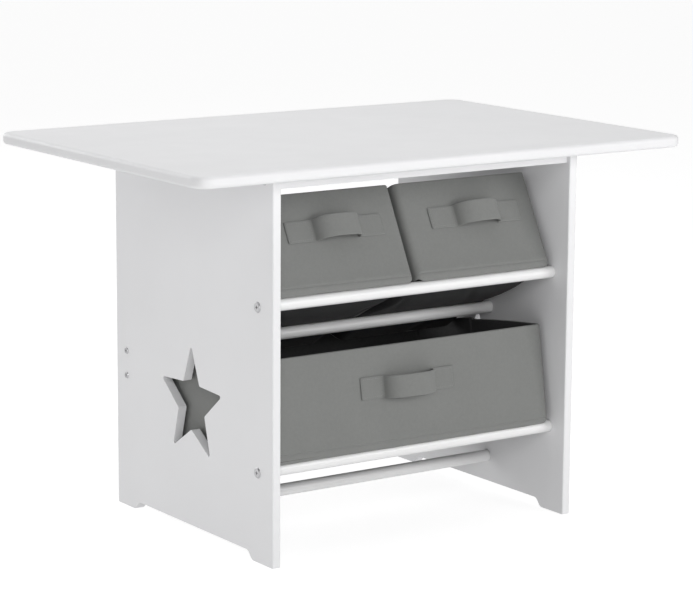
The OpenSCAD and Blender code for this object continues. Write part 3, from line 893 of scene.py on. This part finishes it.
class FitStiffeners(bpy.types.Operator):
    """Give the boards inside the bins their raw greyboard finish"""
    bl_idname = "activity_table.fit_stiffeners"
    bl_label = "Fit the stiffeners"

    def execute(self, context):
        repaint([f"{name}_{board}" for name in BINS for board in STIFFENERS],
                finish("raw greyboard"))
        return {"FINISHED"}


class SewCovers(bpy.types.Operator):
    """Sew the grey outer cover of each bin"""
    bl_idname = "activity_table.sew_covers"
    bl_label = "Sew the covers"

    def execute(self, context):
        for name in BINS:
            shape = BinShape(name)
            obj = finish_piece(name + "_fabric_cover", cover_mesh(shape), finish("cover cloth"),
                               name, shape.place)
            thicken(obj, settings("bin_shape").cloth_thickness)
            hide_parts(name + "_cover")
        return {"FINISHED"}


class SewLinings(bpy.types.Operator):
    """Sew the dark lining of each bin and the stitches of its hem"""
    bl_idname = "activity_table.sew_linings"
    bl_label = "Sew the linings"

    def execute(self, context):
        for name in BINS:
            shape = BinShape(name)
            obj = finish_piece(name + "_inner_lining", lining_mesh(shape), finish("lining cloth"),
                               name, shape.place)
            thicken(obj, settings("bin_shape").cloth_thickness)
            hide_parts(name + "_lining")
            finish_piece(name + "_hem_stitches", hem_stitches(shape), finish("lining cloth"),
                         name, shape.place)
        return {"FINISHED"}


class SewUndersides(bpy.types.Operator):
    """Sew the loose dark cloth under each bin"""
    bl_idname = "activity_table.sew_undersides"
    bl_label = "Sew the undersides"

    def execute(self, context):
        for name in BINS:
            shape = BinShape(name)
            obj = finish_piece(name + "_loose_underside", underside_mesh(shape),
                               finish("underside cloth"), name, shape.place)
            thicken(obj, settings("bin_shape").cloth_thickness)
            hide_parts(name + "_underside")
            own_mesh(obj)
        return {"FINISHED"}


class SewHandles(bpy.types.Operator):
    """Sew a strap handle to the front of each bin"""
    bl_idname = "activity_table.sew_handles"
    bl_label = "Sew the handles"

    def execute(self, context):
        for name in BINS:
            shape = BinShape(name)
            obj = finish_piece(name + "_strap", handle_mesh(shape), finish("cover cloth"),
                               name, shape.place)
            thicken(obj, settings("bin_handle").thickness)
            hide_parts(name + "_handle")
            finish_piece(name + "_strap_stitches", stitched_tabs(shape), finish("sewing thread"),
                         name, shape.place)
        return {"FINISHED"}


class SetStage(bpy.types.Operator):
    """Lay the pale floor and set up the camera and the soft studio light"""
    bl_idname = "activity_table.set_stage"
    bl_label = "Set the stage"

    def execute(self, context):
        stage = settings("table_stage")
        self.lay_floor()
        self.hang_lights(stage)
        self.place_camera(context, stage)
        context.scene.view_settings.view_transform = "Standard"
        context.scene.view_settings.look = "None"
        return {"FINISHED"}

    def lay_floor(self):
        bm = bmesh.new()
        bmesh.ops.create_circle(bm, cap_ends=True, segments=96, radius=14.0,
                                matrix=Matrix.Translation((0, 0, -0.2 * MM)))
        mesh = mesh_of(bm, "floor")
        floor = bpy.data.objects.new("floor", mesh)
        bpy.context.collection.objects.link(floor)
        stage = settings("table_stage")
        made, tree, shader = new_material("pale floor", 0.9, Specular_IOR_Level=0.1,
                                          Emission_Color=(1, 1, 1, 1))
        seen = add_node(tree, "ShaderNodeLightPath").outputs["Is Camera Ray"]
        glow = add_node(tree, "ShaderNodeMath", {0: seen, 1: stage.floor_white, 2: stage.floor_glow},
                        operation="MULTIPLY_ADD")
        tree.links.new(glow.outputs[0], shader.inputs["Emission Strength"])
        place = add_node(tree, "ShaderNodeTexCoord").outputs["Object"]
        cloud = add_node(tree, "ShaderNodeTexNoise", {"Vector": place, "Scale": 2.0})
        base = mix_colour(tree, spread(tree, cloud.outputs["Fac"], 0, 1),
                          tint(stage.floor_colour, 0.995), tint(stage.floor_colour, 1.005))
        tree.links.new(base, shader.inputs["Base Color"])
        mesh.materials.append(made)

    def hang_lights(self, stage):
        world = bpy.data.worlds.new("studio")
        world.use_nodes = True
        tree = world.node_tree
        towards = add_node(tree, "ShaderNodeTexCoord").outputs["Generated"]
        rear = add_node(tree, "ShaderNodeVectorMath", {0: towards, 1: (0, stage.sky_rear, 0)},
                        operation="DOT_PRODUCT").outputs["Value"]
        strength = add_node(tree, "ShaderNodeMath", {0: rear, 1: 0.0}, operation="MAXIMUM")
        strength = add_node(tree, "ShaderNodeMath", {0: strength.outputs[0], 1: stage.sky},
                            operation="ADD")
        seen = add_node(tree, "ShaderNodeLightPath").outputs["Is Camera Ray"]
        strength = add_node(tree, "ShaderNodeMath", {0: strength.outputs[0], 1: seen},
                            operation="MAXIMUM")
        backdrop = tree.nodes["Background"]
        backdrop.inputs["Color"].default_value = (1, 1, 1, 1)
        tree.links.new(strength.outputs[0], backdrop.inputs["Strength"])
        bpy.context.scene.world = world
        for name, place, size, power in (
                ("key", (-1.5, -2.4, 1.27), (1.2, 1.0), stage.key),
                ("second", (1.2, -2.2, 0.9), (1.2, 1.0), stage.second),
                ("low", (-0.1, -1.7, 0.42), (0.9, 0.6), stage.low),
                ("overhead", (0.0, 0.3, 2.2), (2.0, 2.0), stage.overhead),
                ("rear_fill", (-0.8, 3.2, 1.2), (1.6, 1.2), stage.rear_fill),
                ("side_fill", (-0.85, 0.0, 0.1), (0.9, 0.15), stage.side_fill)):
            light = bpy.data.lights.new(name, "AREA")
            light.shape = "RECTANGLE"
            light.size, light.size_y = size
            light.energy = power
            lamp = bpy.data.objects.new(name, light)
            bpy.context.collection.objects.link(lamp)
            lamp.visible_camera = False
            aim = Vector((0, 0, 0.28)) - Vector(place)
            turn = aim.to_track_quat("-Z", "Y").to_matrix().to_4x4()
            lamp.matrix_world = Matrix.Translation(place) @ turn

    def place_camera(self, context, stage):
        heading, tilt, roll = stage.camera_turn
        ahead = Vector((math.sin(heading) * math.cos(tilt), math.cos(heading) * math.cos(tilt),
                        -math.sin(tilt)))
        level = Vector((math.cos(heading), -math.sin(heading), 0))
        down = ahead.cross(level)
        right = math.cos(roll) * level + math.sin(roll) * down
        up = math.sin(roll) * level - math.cos(roll) * down
        data = bpy.data.cameras.new("camera")
        data.sensor_width = 36
        data.lens = stage.lens
        data.clip_start, data.clip_end = 0.05, 60
        camera = bpy.data.objects.new("camera", data)
        bpy.context.collection.objects.link(camera)
        axes = Matrix((right, up, -ahead)).transposed().to_4x4()
        camera.matrix_world = Matrix.Translation(stage.camera_place) @ axes
        context.scene.camera = camera


class ActivityTablePanel(bpy.types.Panel):
    """Lists the steps that finish the table"""
    bl_idname = "VIEW3D_PT_activity_table"
    bl_label = "Activity table"
    bl_space_type = "VIEW_3D"
    bl_region_type = "UI"
    bl_category = "Activity table"

    def draw(self, context):
        for group, kind in GROUPS.items():
            box = self.layout.box()
            box.label(text=kind.__doc__.strip("."))
            for key in kind.__annotations__:
                box.prop(getattr(context.scene, group), key)
        for step in STEPS:
            self.layout.operator(step.bl_idname)


GROUPS = {
    "table_paint": PaintSettings,
    "table_steel": SteelSettings,
    "bin_fabric": FabricSettings,
    "bin_shape": BinSettings,
    "bin_handle": HandleSettings,
    "table_stage": StageSettings,
}
STEPS = (PaintBoards, PaintRods, PlateScrews, FitStiffeners, SewCovers, SewLinings,
         SewUndersides, SewHandles, SetStage)


def register():
    for kind in (*GROUPS.values(), *STEPS, ActivityTablePanel):
        bpy.utils.register_class(kind)
    for group, kind in GROUPS.items():
        setattr(bpy.types.Scene, group, bpy.props.PointerProperty(type=kind))


def unregister():
    for group in GROUPS:
        delattr(bpy.types.Scene, group)
    for kind in reversed((*GROUPS.values(), *STEPS, ActivityTablePanel)):
        bpy.utils.unregister_class(kind)


def main():
    register()
    for step in STEPS:
        category, name = step.bl_idname.split(".")
        getattr(getattr(bpy.ops, category), name)()


if __name__ == "__main__":
    main()
